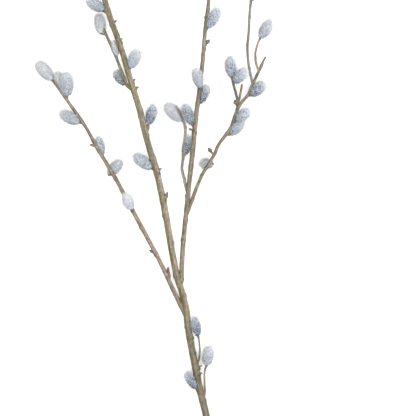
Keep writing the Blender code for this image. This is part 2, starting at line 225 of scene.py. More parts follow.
# Each mark on the bark, from the lowest layer up: its fineness round the stem and along it and its detail,
# or None where it goes by place, the range over which it comes in, how far it covers, and its tint.
BARK_MARKS = (
    ("long streaks", (0.35, 0.025, 3.0), (0.44, 0.56), 1.0, "streak"),
    ("worn ridges", (0.5, 0.05, 3.0), (0.50, 0.62), 0.8, "pale"),
    # The stem's right side, toward the low lamp, is tinted paler and pinker in patches: painted sheen, and
    # partly willow's redder sun side.
    ("lit right flank", None, (0.4, 1.8), "patchy", "rosy_sheen"),
    ("dark streaks", (0.45, 0.03, 3.0), (0.46, 0.36), 0.8, "knot"),
    ("fissures", (1.2, 0.22, 5.0), (0.54, 0.34), 0.7, "knot"),
    ("dark specks", (0.6, 0.4, 2.0), (0.57, 0.65), 0.75, "knot"),
    ("pale mottles", (0.7, 0.3, 2.0), (0.44, 0.36), 0.7, "pale"),
    ("old wood", None, (-0.15, -0.22), 0.36, "knot"),
    ("fine specks", (1.4, 1.0, 2.0), (0.56, 0.68), 0.65, "knot"),
    ("fine mottles", (1.8, 1.4, 2.0), (0.40, 0.30), 0.5, "pale"),
    ("leaf scars", None, (0.15, 0.8), 0.8, "scar"),
)

# The patches of the painted rosy sheen on the right flank, how that tint comes from the pale one, and the
# rest of the finishes.
LIT_FLANK_PATCHES = ((0.7, 0.07, 3.0), (0.40, 0.54, 0.95))
LIT_FLANK_GAINS = (1.22, 1.16, 0.5)
LIT_FLANK_PINK = 0.82
SCAR_SHADE = 0.5
BARK_SHINE = 0.45
FISSURE_BUMP = 0.6
FISSURE_DEPTH = 0.8 * MM
CUT_WOOD_GRAIN = ((2.0, 2.0, 4.0), (0.35, 0.7))
CUT_WOOD_COLOURS = ((0.60, 0.50, 0.33), (0.42, 0.33, 0.2))
CUT_WOOD_ROUGHNESS = 0.75


def along(route, step=BARK_STEP):
    """Middles and widths, a small step apart, on a smooth curve through every point of a route."""
    places = [on_branch(*point[:3]) for point in route]
    widths = [point[3] * MM for point in route]
    places = [2 * places[0] - places[1]] + places + [2 * places[-1] - places[-2]]
    middles, thickness = [], []
    for i in range(1, len(places) - 2):
        before, start, end, after = places[i - 1:i + 3]
        count = max(1, round((end - start).length / (step * MM)))
        for k in range(count):
            t = k / count
            bend = 2 * start + (end - before) * t
            bend += (2 * before - 5 * start + 4 * end - after) * t ** 2
            bend += (3 * start - before - 3 * end + after) * t ** 3
            middles.append(bend / 2)
            thickness.append(widths[i - 1] * (1 - t) + widths[i] * t)
    middles.append(places[-2])
    thickness.append(widths[-1])
    return middles, thickness


def alternate_catkins(route, first_y, last_y):
    """Catkins on alternate sides up a stem, leaning out from it, each a little smaller than the last."""
    middles, _ = along(route, FINE_STEP)
    placed = []
    for i in range(int((last_y - first_y) / CATKIN_SPACING) + 1):
        y = first_y + i * CATKIN_SPACING
        middle = min(middles, key=lambda place: abs(place.y - on_branch(0, y).y)) / MM
        side = 1 if i % 2 else -1
        size = 1 - CATKIN_SHRINK * i
        foot = Vector((middle.x + GRID_MIDDLE[0] + side * CATKIN_FOOT, y, middle.z))
        lean = Vector((side * math.sin(CATKIN_LEAN), math.cos(CATKIN_LEAN), CATKIN_RISE))
        tip = foot + lean * CATKIN_LENGTH * size
        placed.append((foot, tip, CATKIN_WIDTH * size, TOP_COATS[i % len(TOP_COATS)]))
    return placed


def stalk_routes(routes, catkins):
    """A short curved stalk under every catkin, from the middle of the nearest stem to inside its foot."""
    middles = [place / MM for route in routes for place in along(route, FINE_STEP)[0]]
    shift = Vector((*GRID_MIDDLE, 0))
    at_root, at_neck, at_foot = STALK_WIDTHS
    stalks = []
    for foot, tip, width, _ in catkins:
        foot, tip = Vector(foot), Vector(tip)
        heading = (tip - foot).normalized()
        behind = foot - heading * STALK_BACK - shift
        root = min(middles, key=lambda place: (place - behind).length) + shift
        neck = foot.lerp(root, STALK_NECK) - heading * STALK_DIP
        end = foot + heading
        stalks.append([(*root, at_root * width), (*neck, at_neck * width), (*end, at_foot * width)])
    return stalks


def feet_of(catkins, buds):
    """Where the stem carries something, as places in the frame."""
    return [on_branch(*catkin[0]) for catkin in catkins] + [on_branch(*bud[0]) for bud in buds]


def place_knots(middles, widths, frames, travelled, feet, seed):
    """How far up the stem each knot is, which way it faces, and its size."""
    knots = []
    for foot in feet:
        nearest = min(range(len(middles)), key=lambda i: (middles[i] - foot).length)
        outward = foot - middles[nearest]
        if outward.length < widths[nearest] * FOOT_REACH:
            side, up = frames[nearest]
            facing = math.atan2(outward.dot(up), outward.dot(side))
            knots.append((travelled[nearest] - FOOT_DROP, facing, 1.0))
    spaced = 1 + int(travelled[-1] / KNOT_SPACING) if travelled[-1] > KNOT_SPACING else 0
    for i in range(spaced):
        scatter = noise.noise(Vector((i * KNOT_PLACES[0], seed, KNOT_PLACES[1])))
        turn = noise.noise(Vector((seed, i * KNOT_TURNS[0], KNOT_TURNS[1])))
        at = (i + KNOT_START + KNOT_SCATTER * scatter) * KNOT_SPACING
        if all(abs(at - other[0]) > KNOT_CLEARANCE for other in knots):
            knots.append((at, math.pi * (i % 2) + KNOT_TURN * turn, KNOT_SIZE))
    return knots


def skin(route, feet, seed, step, sides, slant):
    """Rings of points round a stem, ridged, lumpy and knotted, with their grain and scars."""
    middles, widths = along(route, step)
    count = len(middles)
    headings = []
    for i in range(count):
        headings.append((middles[min(i + 1, count - 1)] - middles[max(i - 1, 0)]).normalized())
    end, end_width, end_heading = middles[-1], widths[-1], headings[-1]
    for reach, share in ROUNDED_END:
        middles.append(end + end_heading * end_width * reach)
        widths.append(end_width * share)
        headings.append(end_heading)
    travelled, frames = [0.0], []
    for start, stop in zip(middles, middles[1:]):
        travelled.append(travelled[-1] + (stop - start).length / MM)
    across = headings[0].cross(Vector((0, 0, 1))).normalized()
    for heading in headings:
        across = (across - across.dot(heading) * heading).normalized()
        frames.append((across, across.cross(heading)))
    knots = place_knots(middles[:count], widths, frames, travelled, feet, seed)
    points, grain, scars = [], [], []
    for i, (middle, width, (side, up), far) in enumerate(zip(middles, widths, frames, travelled)):
        radius = width / 2
        knot_rise = KNOT_RISE * min(1.0, radius / FULL_KNOT_RADIUS)
        near = [((far - at) / KNOT_LENGTH, facing, size) for at, facing, size in knots
                if abs(far - at) < KNOT_REACH]
        for k in range(sides):
            angle = math.tau * (k + 0.5) / sides
            spot = Vector((math.cos(angle), math.sin(angle), far / LUMP_LENGTH + seed))
            finer = Vector((spot.x * RIDGES_ROUND, spot.y * RIDGES_ROUND, far / RIDGE_LENGTH + seed))
            out = radius * (1 + LUMP * noise.noise(spot) + RIDGE * noise.noise(finer))
            scar = 0.0
            for gap, facing, size in near:
                turn = (angle - facing + math.pi) % math.tau - math.pi
                nearness = size * math.exp(-gap ** 2 - (turn * KNOT_WRAP) ** 2)
                out += knot_rise * nearness
                out += KNOT_SWELLING * radius * size * math.exp(-gap ** 2)
                ring = SCAR_ROUND + SCAR_FRONT * math.exp(-(turn * SCAR_WRAP) ** 2)
                scar = max(scar, nearness, ring * size * math.exp(-(gap * SCAR_TIGHTNESS) ** 2))
            offset = side * math.cos(angle) + up * math.sin(angle)
            if i == 0:
                offset = offset + headings[0] * math.tan(slant) * math.cos(angle)
            place = middle + offset * out
            place.z = max(place.z, PRESSED * MM)
            points.append(place)
            sideways, upward = math.cos(angle) * radius / MM, math.sin(angle) * radius / MM
            grain.append((sideways, upward, far + seed * GRAIN_SHIFT))
            scars.append(scar)
    return points, grain, scars


def ring_faces(first, rings, sides):
    """The faces of a closed skin over rings of points, with the cap of the first ring last."""
    faces = []
    for i in range(rings - 1):
        for k in range(sides):
            a = first + i * sides + k
            b = first + i * sides + (k + 1) % sides
            faces.append((a, b, b + sides, a + sides))
    faces.append(tuple(first + (rings - 1) * sides + k for k in range(sides)))
    faces.append(tuple(first + k for k in reversed(range(sides))))
    return faces


def stem_piece(name, routes, feet, skins, step=BARK_STEP, slant=0.0):
    """One mesh with the skin of a stem and of what grows on it, its cut ends in its last material."""
    points, grain, scars, faces, cut_faces = [], [], [], [], []
    for number, route in enumerate(routes):
        sides = BARK_SIDES if route[0][3] > THIN_BELOW else TWIG_SIDES
        seed = len(name) + number * SEED_STEP
        added, added_grain, added_scars = skin(route, feet, seed, step, sides, 0.0 if number else slant)
        faces += ring_faces(len(points), len(added) // sides, sides)
        cut_faces.append(len(faces) - 1)
        points += added
        grain += added_grain
        scars += added_scars
    mesh = bpy.data.meshes.new(name)
    mesh.from_pydata(points, [], faces)
    mesh.shade_smooth()
    for finish in skins:
        mesh.materials.append(finish)
    for face in cut_faces:
        mesh.polygons[face].material_index = len(skins) - 1
        mesh.polygons[face].use_smooth = False
    mesh.attributes.new("grain", "FLOAT_VECTOR", "POINT").data.foreach_set("vector", np.ravel(grain))
    mesh.attributes.new("scar", "FLOAT", "POINT").data.foreach_set("value", scars)
    piece = bpy.data.objects.new(name, mesh)
    bpy.context.scene.collection.objects.link(piece)
    return piece


def node(tree, kind, **settings):
    """A shader node with its sockets set by name, wired where the value is another node's socket."""
    made = tree.nodes.new(kind)
    for name, value in settings.items():
        if hasattr(made, name):
            setattr(made, name, value)
            continue
        socket = made.inputs[name.replace("_", " ")]
        if isinstance(value, bpy.types.NodeSocket):
            tree.links.new(value, socket)
        else:
            socket.default_value = value
    return made


def mixed(tree, share, first, second):
    """One colour over another, by a share."""
    made = tree.nodes.new("ShaderNodeMix")
    made.data_type = "RGBA"
    for socket, value in ((made.inputs[0], share), (made.inputs[6], first), (made.inputs[7], second)):
        if isinstance(value, bpy.types.NodeSocket):
            tree.links.new(value, socket)
        else:
            socket.default_value = (*value, 1) if isinstance(value, tuple) else value
    return made.outputs[2]


def ramp(tree, source, low, high, top=1.0):
    """A value stretched so that low becomes nought and high becomes top."""
    made = node(tree, "ShaderNodeMapRange", Value=source)
    made.inputs["From Min"].default_value = low
    made.inputs["From Max"].default_value = high
    if isinstance(top, bpy.types.NodeSocket):
        tree.links.new(top, made.inputs["To Max"])
    else:
        made.inputs["To Max"].default_value = top
    return made.outputs["Result"]


def grainy(tree, round_it, along_it, detail):
    """Noise that follows the bark, by its fineness round the stem and along it."""
    grain = node(tree, "ShaderNodeAttribute", attribute_name="grain").outputs["Vector"]
    mapping = node(tree, "ShaderNodeMapping", Vector=grain)
    mapping.inputs["Scale"].default_value = (round_it, round_it, along_it)
    pattern = node(tree, "ShaderNodeTexNoise", Vector=mapping.outputs[0], Scale=1.0, Detail=detail)
    return pattern.outputs["Fac"]


def shaded(colour, share):
    """A colour made darker or lighter."""
    return tuple(share * value for value in colour)


def bark_finish(name, ground, streak, pale, knot, roughness):
    """Willow bark: a ground colour, the marks in their layers over it, and the fissures pressed in."""
    finish = bpy.data.materials.new(name)
    finish.use_nodes = True
    tree = finish.node_tree
    grain = node(tree, "ShaderNodeAttribute", attribute_name="grain").outputs["Vector"]
    place = node(tree, "ShaderNodeTexCoord").outputs["Object"]
    sources = {
        # The right flank of the stem, by how far across it a point lies, for the painted sheen.
        "lit right flank": node(tree, "ShaderNodeSeparateXYZ", Vector=grain).outputs["X"],
        "old wood": node(tree, "ShaderNodeSeparateXYZ", Vector=place).outputs["Y"],
        "leaf scars": node(tree, "ShaderNodeAttribute", attribute_name="scar").outputs["Fac"],
    }
    # Painted sheen: a paler, pinker tint for the right flank, toward the low lamp.
    rosy_sheen = (LIT_FLANK_GAINS[0] * pale[0], LIT_FLANK_GAINS[1] * pale[1], LIT_FLANK_GAINS[2] * pale[2] + LIT_FLANK_PINK * pale[1])
    tints = {"streak": streak, "pale": pale, "rosy_sheen": rosy_sheen, "knot": knot, "scar": shaded(knot, SCAR_SHADE)}
    patch_grain, patch_range = LIT_FLANK_PATCHES
    colour = ground
    for mark, fineness, (low, high), cover, tint in BARK_MARKS:
        if mark not in sources:
            sources[mark] = grainy(tree, *fineness)
        if cover == "patchy":
            cover = ramp(tree, grainy(tree, *patch_grain), *patch_range)
        colour = mixed(tree, ramp(tree, sources[mark], low, high, cover), colour, tints[tint])
    shader = tree.nodes["Principled BSDF"]
    tree.links.new(colour, shader.inputs["Base Color"])
    shader.inputs["Roughness"].default_value = roughness
    shader.inputs["Specular IOR Level"].default_value = BARK_SHINE
    bump = node(tree, "ShaderNodeBump", Height=sources["fissures"], Strength=FISSURE_BUMP,
                Distance=FISSURE_DEPTH)
    tree.links.new(bump.outputs[0], shader.inputs["Normal"])
    return finish


def wood_finish():
    """Freshly cut willow: pale and close-grained."""
    finish = bpy.data.materials.new("cut willow wood")
    finish.use_nodes = True
    tree = finish.node_tree
    fineness, (low, high) = CUT_WOOD_GRAIN
    speckle = ramp(tree, grainy(tree, *fineness), low, high)
    shader = tree.nodes["Principled BSDF"]
    tree.links.new(mixed(tree, speckle, *CUT_WOOD_COLOURS), shader.inputs["Base Color"])
    shader.inputs["Roughness"].default_value = CUT_WOOD_ROUGHNESS
    return finish


olive_bark = bark_finish(
    "olive bark", ground=(0.098, 0.090, 0.024), streak=(0.166, 0.118, 0.060), pale=(0.250, 0.216, 0.118),
    knot=(0.042, 0.030, 0.014), roughness=0.42)
cut_wood = wood_finish()
main_catkins = MAIN_CATKINS + alternate_catkins(MAIN_STEM, *MAIN_STEM_TOP)
main_routes = [MAIN_STEM, UPRIGHT_TWIG, BURL, STUB]
main_bark = stem_piece("main_stem_bark", main_routes + stalk_routes(main_routes + [LOW_TWIG], main_catkins),
                       feet_of(main_catkins, MAIN_BUDS), (olive_bark, cut_wood), slant=CUT_SLANT)
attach(main_bark, "root")
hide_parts("main_stem")


# The low twig: a short young twig at the foot of the trunk, bare up to the catkin at its tip. Its bark is
# pale and pinkish brown, and it grows out of the trunk's wood.
young_bark = bark_finish(
    "young bark", ground=(0.208, 0.160, 0.108), streak=(0.236, 0.176, 0.124), pale=(0.330, 0.285, 0.215),
    knot=(0.095, 0.062, 0.042), roughness=0.42)
low_bark = stem_piece("low_twig_bark", [LOW_TWIG], [], (young_bark,))
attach(low_bark, "root")


# The left shoot: a long young whip from the first fork, warm tan and smoother than the old wood, with the
# stub of a lost side twig on its left. It thins evenly and ends in a catkin that rests on the table.
LEFT_SHOOT = [
    (187.4, 97, 13.5, 4.6), (182.9, 106, 14.2, 4.8), (173.2, 126, 15.2, 4.7), (159.2, 156, 16.4, 4.5),
    (143.2, 186, 17.4, 4.6), (128, 214, 18, 4.3), (116.5, 236, 18, 4.1), (98.5, 266, 17.4, 3.7),
    (85.1, 290, 16.2, 3.5), (73.3, 307, 14.2, 3.5), (62.4, 322, 11.4, 2.9), (51.8, 336.8, 7.8, 2.6),
]
LEFT_STUB = [
    (97, 269.6, 17.2, 2.6), (94, 270.4, 17.3, 2.8), (91.6, 271, 17.4, 2.6), (90.6, 271.3, 17.4, 1.8),
]
LEFT_CATKINS = [
    ((51.8, 336.6, 7.6), (36.2, 354.9, 5.5), 13.2, "white"),
    ((64, 327.5, 10.5), (56, 345, 7.0), 11.0, "white"),
    ((66.9, 320, 13.4), (66.5, 344, 17.0), 14.6, "grey"),
    ((79.5, 293.5, 15.4), (59.5, 303.5, 14.2), 13.0, "grey"),
    ((102, 260, 14.5), (97.5, 280, 11.6), 10.5, "blue"),
    ((108.5, 241, 14.5), (121, 256, 10.8), 12.0, "grey"),
    ((131.5, 206.5, 20.0), (125, 222.5, 25.0), 12.0, "white"),
]
LEFT_BUDS = [
    ((156, 162, 16.6), (149.6, 166, 17.0), 2.4, "thorn"),
    ((169, 139, 15.8), (168.2, 149, 17.6), 2.6, "thorn"),
]
tan_bark = bark_finish(
    "tan bark", ground=(0.126, 0.101, 0.047), streak=(0.174, 0.123, 0.074), pale=(0.272, 0.226, 0.154),
    knot=(0.060, 0.038, 0.022), roughness=0.42)
left_bark = stem_piece("left_shoot_bark", [LEFT_SHOOT, LEFT_STUB] + stalk_routes([LEFT_SHOOT], LEFT_CATKINS),
                       feet_of(LEFT_CATKINS, LEFT_BUDS), (tan_bark, cut_wood))
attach(left_bark, "root")
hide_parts("left_shoot")


# The right leader: straight, even wood grown from the second fork, with dull bark of olive and mauve brown.
# The curved side shoot and the wavy twig grow out of it.
RIGHT_SHOOT = [
    (180.2, 127, 16, 4.4), (181.4, 136, 16.8, 4.7), (182, 152, 17.8, 5), (183.6, 176, 18.8, 5.1),
    (186.5, 206, 19.8, 4.9), (189.5, 236, 21.2, 5), (192.9, 266, 22.2, 5), (195.6, 296, 22.6, 4.9),
    (199.5, 326, 22.4, 4.5), (202.8, 356, 21.8, 4.3), (205.3, 386, 21, 4.1), (208.9, 416, 20.2, 3.7),
    (212, 446, 19.2, 3.5), (214, 476, 18, 3.2), (214.5, 506, 16.4, 2.8), (213, 534, 14.6, 2.3),
    (211, 560, 13.2, 1.9),
]
RIGHT_SHOOT_TOP = (441, 541)
RIGHT_CATKINS = [
    ((192.4, 291, 23.0), (184, 312, 25.5), 12.0, "dark"),
    ((200.3, 328, 24.5), (195, 348, 29.5), 11.5, "grey"),
    ((201, 313, 21.0), (207.5, 331.5, 18.6), 10.5, "dark"),
    ((207.8, 388, 21.0), (219, 408, 20.0), 12.5, "blue"),
    ((211, 558, 13.2), (208, 578, 12.2), 11.0, "grey"),
]
RIGHT_BUDS = [
    ((194.6, 284, 22.6), (189.6, 287, 22.6), 1.9, "knob"),
    ((204.5, 368, 21.4), (209, 375.4, 22.4), 2.8, "knob"),
    ((208, 394, 20.6), (204.4, 399, 21.0), 2.0, "thorn"),
]
mauve_bark = bark_finish(
    "mauve bark", ground=(0.094, 0.085, 0.035), streak=(0.140, 0.103, 0.062), pale=(0.226, 0.200, 0.128),
    knot=(0.050, 0.035, 0.021), roughness=0.42)
right_catkins = RIGHT_CATKINS + alternate_catkins(RIGHT_SHOOT, *RIGHT_SHOOT_TOP)
right_bark = stem_piece("right_shoot_bark", [RIGHT_SHOOT] + stalk_routes([RIGHT_SHOOT], right_catkins),
                        feet_of(right_catkins, RIGHT_BUDS), (mauve_bark, cut_wood))
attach(right_bark, "root")
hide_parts("right_shoot")


# The upper twig: a thin side twig high on the left leader that runs close beside it and ends in a pale
# catkin. It is live wood with the same olive bark as the leader it grows from.
UPPER_TWIG = [
    (133.5, 325, 21, 3.3), (127.5, 330, 20.4, 3.3), (125, 336, 19.8, 3.2), (121, 346, 18.8, 3.1),
    (116, 359, 17.4, 3), (109, 375, 15.6, 3), (103.8, 387, 14.2, 2.9),
]
UPPER_CATKINS = [
    ((101, 382.5, 13.6), (98.5, 402.5, 10.0), 12.0, "white"),
    ((117, 359.5, 17.0), (113, 376, 15.6), 8.5, "white"),
    ((125.2, 331.5, 17.0), (114, 345, 12.0), 11.0, "dark"),
]
upper_bark = stem_piece("upper_twig_bark", [UPPER_TWIG] + stalk_routes([UPPER_TWIG], UPPER_CATKINS),
                        feet_of(UPPER_CATKINS, []), (olive_bark, cut_wood))
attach(upper_bark, "root")
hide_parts("upper_twig")


# The wavy twig: it leaves the right leader on its left, sways twice, and carries the biggest and palest
# catkin, past which its dry tip curls on. Its bark is thin and greyish brown.
WAVY_TWIG = [
    (188.6, 220, 20.2, 2.9), (186, 228, 19.2, 3), (184.2, 237, 17.8, 3.2), (181.9, 247, 16, 3.1),
    (183.1, 258, 14.4, 3.1), (183, 267, 13.4, 3), (184.8, 278, 12.6, 3), (185.2, 287, 12.2, 3),
    (184, 294, 12.6, 2.8), (181, 300, 15.4, 2.4), (178.4, 306, 17.2, 2.1), (176.4, 310, 17.8, 1.8),
]
WAVY_CATKINS = [
    ((182, 295.5, 11.8), (165.5, 312, 10.0), 14.0, "white"),
    ((184.8, 261, 13.0), (189.8, 281, 12.0), 10.0, "dark"),
]
grey_brown_bark = bark_finish(
    "grey-brown bark", ground=(0.198, 0.170, 0.112), streak=(0.224, 0.180, 0.128),
    pale=(0.320, 0.288, 0.218), knot=(0.082, 0.060, 0.040), roughness=0.45)
wavy_bark = stem_piece("wavy_twig_bark", [WAVY_TWIG] + stalk_routes([WAVY_TWIG], WAVY_CATKINS),
                       feet_of(WAVY_CATKINS, []), (grey_brown_bark, cut_wood))
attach(wavy_bark, "root")
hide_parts("wavy_twig")


# The side shoot: it curves out to the right from the right leader, whose bark it has, with a bare spur and a
# round stub. It carries the closest cluster of catkins, with those of the side arm and of the end twig.
SIDE_SHOOT = [
    (186.9, 201.9, 19.6, 3.8), (190.2, 210.6, 19.2, 3.9), (195.2, 224.6, 18.4, 3.7), (202.2, 241.1, 17, 3.5),
    (209.3, 252.6, 15.8, 3.5), (214.8, 262.6, 15, 3.4), (218.8, 271.6, 14.4, 3.4), (226.7, 282.2, 13.6, 3.7),
    (231.6, 289.7, 13, 3.6), (235.5, 301.8, 12.4, 3.5), (240, 311.7, 11.9, 3.4), (247.5, 320.7, 11.5, 3),
    (252.5, 331.6, 11.2, 2.9), (258.9, 344.8, 10.8, 2.7), (261.6, 350.6, 10.7, 3.3),
    (263.3, 354.9, 10.6, 2.2), (265.3, 358.9, 10.6, 2.0),
]
SPUR = [(238.4, 312, 12.0, 2.2), (240.5, 323, 12.6, 2.1), (242, 331, 13.0, 2.2)]
ROUND_STUB = [
    (213.8, 261, 15.0, 2.3), (211.6, 263.7, 15.5, 2.1), (211.1, 264.3, 15.7, 3.1), (210.5, 265.1, 15.9, 4.2),
    (209.8, 266, 16.1, 4.4), (209.2, 266.7, 16.3, 3.7), (208.9, 267.1, 16.3, 2.5),
]
SHOOT_CATKINS = [
    ((213, 252, 12.0), (199.8, 252.6, 9.0), 12.0, "grey"),
    ((231, 281.5, 12.0), (243, 297.5, 8.6), 13.0, "blue"),
    ((236.6, 295.5, 13.4), (250, 306.5, 17.0), 12.0, "blue"),
]
ARM_CATKINS = [
    ((234.4, 333.5, 13.4), (246.5, 347.5, 16.0), 12.0, "blue"),
    ((231.4, 339.5, 13.2), (229.5, 360, 11.0), 12.0, "blue"),
]
FAR_CATKINS = [((251, 321, 11.0), (265, 334, 9.0), 13.0, "dark")]
END_CATKINS = [((260.5, 378.5, 8.8), (271.5, 396.5, 8.0), 12.5, "grey")]
SIDE_BUDS = [((237.8, 308, 12.4), (235, 315, 14.0), 3.4, "knob")]
side_catkins = SHOOT_CATKINS + ARM_CATKINS + FAR_CATKINS + END_CATKINS
side_feet = feet_of(side_catkins, SIDE_BUDS)
shoot_stalks = stalk_routes([SIDE_SHOOT], SHOOT_CATKINS + FAR_CATKINS)
side_bark = stem_piece("side_shoot_bark", [SIDE_SHOOT, SPUR, ROUND_STUB] + shoot_stalks, side_feet,
                       (mauve_bark, cut_wood))
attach(side_bark, "root")
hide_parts("side_shoot")


# The side arm: a short bent twig on the side shoot with two blue-grey catkins. Its bark is a darker brown
# than the shoot's, and it grows out of the shoot where the bare spur does.
SIDE_ARM = [
    (239, 310, 12.0, 2.6), (236.8, 319, 12.4, 2.6), (233.3, 332, 13.0, 2.6), (231.6, 340, 13.4, 2.3),
]
brown_bark = bark_finish(
    "brown bark", ground=(0.074, 0.060, 0.034), streak=(0.100, 0.074, 0.048), pale=(0.150, 0.128, 0.092),
    knot=(0.036, 0.026, 0.017), roughness=0.45)
arm_bark = stem_piece("side_arm_bark", [SIDE_ARM] + stalk_routes([SIDE_ARM], ARM_CATKINS), side_feet,
                      (brown_bark,))
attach(arm_bark, "root")


# The end twig: a little curved twig near the end of the side shoot, bare up to the grey catkin at its tip.
# It has the pale bark of young wood and grows out of the shoot.
END_TWIG = [
    (258.8, 345, 10.8, 2.6), (256.2, 353, 10.4, 2.5), (255.4, 362, 9.8, 2.5), (257.3, 371, 9.2, 2.4),
    (260.5, 379, 8.8, 2.4),
]
end_bark = stem_piece("end_twig_bark", [END_TWIG] + stalk_routes([END_TWIG], END_CATKINS), side_feet,
                      (young_bark,))
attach(end_bark, "root")


# The long twig: a slender green-olive twig, smooth and faintly glossy, that rises from the side shoot and
# sags back to the table at its tip.
LONG_TWIG = [
    (253.4, 330, 11.2, 2.7), (251.4, 338, 11, 2.7), (248.8, 351, 10.5, 2.7), (247.5, 367, 9.9, 2.8),
    (248.8, 384, 9.2, 2.8), (249.7, 402, 8.5, 2.7), (251.6, 422, 7.8, 2.6), (253.5, 446, 7.1, 2.3),
    (254.2, 470, 6.5, 2.2), (253.8, 492, 6, 1.9), (252, 512, 5.6, 1.8),
]
LONG_CATKINS = [
    ((251.4, 416, 8.2), (258, 434, 8.4), 11.0, "grey"),
    ((254, 452, 6.8), (245, 467, 7.2), 10.5, "blue"),
    ((254, 482, 6.2), (263, 498, 6.6), 10.5, "grey"),
    ((252, 511, 5.6), (250, 530, 5.0), 11.0, "white"),
]
green_bark = bark_finish(
    "green bark", ground=(0.126, 0.120, 0.080), streak=(0.146, 0.132, 0.095), pale=(0.224, 0.218, 0.172),
    knot=(0.058, 0.046, 0.032), roughness=0.4)
long_bark = stem_piece("long_twig_bark", [LONG_TWIG] + stalk_routes([LONG_TWIG], LONG_CATKINS),
                       feet_of(LONG_CATKINS, []), (green_bark, cut_wood))
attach(long_bark, "root")
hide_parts("long_twig")


# The buds: short blunt leaf buds pressed to the wood, and unopened flower buds with a round head on a thin
# stalk, one of them hooked. Each is under one smooth reddish brown cap and grows out of its stem's bark.
# A form gives, at shares of the way from root to tip, the bow to the left and the thickness.
BUD_STEP = 0.45
BUD_FORMS = {
    "thorn": ((0.0, 0.0, 1.5), (0.3, 0.0, 1.3), (0.6, 0.04, 1.1), (0.82, 0.03, 0.95), (0.95, 0.0, 0.65)),
    "knob": ((0.0, 0.0, 0.85), (0.3, 0.0, 0.55), (0.5, 0.0, 0.55), (0.6, 0.0, 0.85), (0.72, 0.0, 1.3),
             (0.86, 0.0, 1.42), (0.96, 0.0, 1.1), (1.02, 0.0, 0.7)),
    "curled": ((0.0, 0.0, 1.0), (0.2, -0.13, 0.8), (0.38, -0.2, 0.65), (0.5, -0.16, 0.7), (0.6, -0.1, 1.0),
               (0.74, -0.03, 1.2), (0.9, 0.0, 1.1), (1.0, 0.0, 0.7)),
}


def bud_routes(buds):
    """The way from root to tip of each bud, bowed to its side, with its thickness on that way."""
    routes = []
    for root, tip, width, form in buds:
        root, tip = Vector(root), Vector(tip)
        aside = (tip - root).cross(Vector((0, 0, -1)))
        routes.append([(*(root.lerp(tip, share) + aside * bow), width * fullness)
                       for share, bow, fullness in BUD_FORMS[form]])
    return routes


bud_cap = bark_finish(
    "bud cap", ground=(0.108, 0.072, 0.046), streak=(0.138, 0.092, 0.060), pale=(0.220, 0.166, 0.120),
    knot=(0.045, 0.026, 0.018), roughness=0.45)
for stem_name, stem_buds in (
    ("main_stem", MAIN_BUDS), ("left_shoot", LEFT_BUDS), ("right_shoot", RIGHT_BUDS),
    ("side_shoot", SIDE_BUDS),
):
    buds = stem_piece(f"{stem_name}_buds", bud_routes(stem_buds), [], (bud_cap,), BUD_STEP)
    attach(buds, "root")


# The catkins: a soft dark core set with little scales in spirals, and over it a coat of silk that lies
# towards the tip, parting over the scales. A brown cup, what is left of the bud cap, holds the foot of each.
# The core is a blunt egg, and shares run from its foot to its tip.
CORE_BLUNTNESS = 0.42
CORE_SKEW = 1.04
CORE_ENDS = (0.0005, 0.9995)
CORE_SPAN = (0.004, 0.996)
CORE_STEPS = 500
CORE_ROWS = 14
CORE_SIDES = 20
CORE_CAP = 0.12
CORE_FULLNESS = 0.8
END_COVER = 0.05
SLOPE_STEP = 0.01
STEEPEST = 4
SILK_STAND = 1.35
SILK_TIP = 1.0
CUP = ((-0.9, 0.75), (-0.2, 1.05), (0.7, 1.5), (1.6, 1.7), (2.3, 1.2))
CUP_SIDES = 14

# The scales, in millimetres: bigger towards the foot, and bigger under a coat that is more open.
SCALES_PER_SQUARE = 0.17
SCALES_SPAN = (0.01, 0.85)
SCALE_DRIFT = 0.35
SCALE_SIZES = (0.5, 1.35)
SCALE_AT_FOOT = 1.2
SCALE_SHRINK = 0.65
SCALE_CLOSED = 0.55
SCALE_OPENING = 0.45
SCALE_LENGTH = 1.9
SCALE_WIDTH = 1.4
SCALE_RISE = 1.3
SCALE_FLATTEN = 0.75
SCALE_MIDDLE = 0.8
SCALE_ROOT = 0.3
SCALE_SIDES = 6
GOLDEN_ANGLE = math.pi * (3 - math.sqrt(5))

# The gap in the silk over each scale: how far ahead of the scale it is, and how wide.
WINDOW_AHEAD = 0.15
WINDOW = 0.8
OPEN_AT_FOOT = 1.45
CLOSING = 1.7

# The silk, in millimetres: hairs that stand in wisps.
WISPS_PER_SQUARE = 0.75
HAIRS_PER_SQUARE = 8.0
WISP_SPREAD = 0.38
WISP_GATHER = 0.45
LEAST_GIRTH = 0.9
HAIR_ROOT = 0.15
HAIR_LENGTH = 3.0
HAIR_LENGTHS = (0.75, 1.1)
WISP_LENGTHS = (0.8, 1.2)
FOOT_HAIR = 0.45
HAIR_GROWTH = 2.5
SHORTEST_HAIR = 0.8
HAIR_WIDTH = 0.10
HAIR_LIFT = (0.35, 1.15)
HAIR_LIFT_SPREAD = 0.1
STRAY_SHARE = 0.12
STRAY_LIFT = 0.5
HAIR_TWIST = 0.12
WISP_LEAN = 0.15
HAIR_LEAN = 0.09
WISP_SHADE = 0.75
HAIR_SHADE = 0.25

# Finishes. A coat is open where the dark scales show through it, and closed where the silk hides them.
COATS = {
    "white": {"open": 0.33, "foot": (0.61, 0.635, 0.67), "tip": (0.79, 0.795, 0.80),
              "scale": (0.29, 0.31, 0.345)},
    "grey": {"open": 0.6, "foot": (0.53, 0.575, 0.635), "tip": (0.77, 0.78, 0.795),
             "scale": (0.15, 0.17, 0.21)},
    "blue": {"open": 0.8, "foot": (0.53, 0.59, 0.67), "tip": (0.76, 0.78, 0.81),
             "scale": (0.11, 0.13, 0.17)},
    "dark": {"open": 1.0, "foot": (0.44, 0.50, 0.585), "tip": (0.69, 0.73, 0.77),
             "scale": (0.06, 0.07, 0.09)},
}
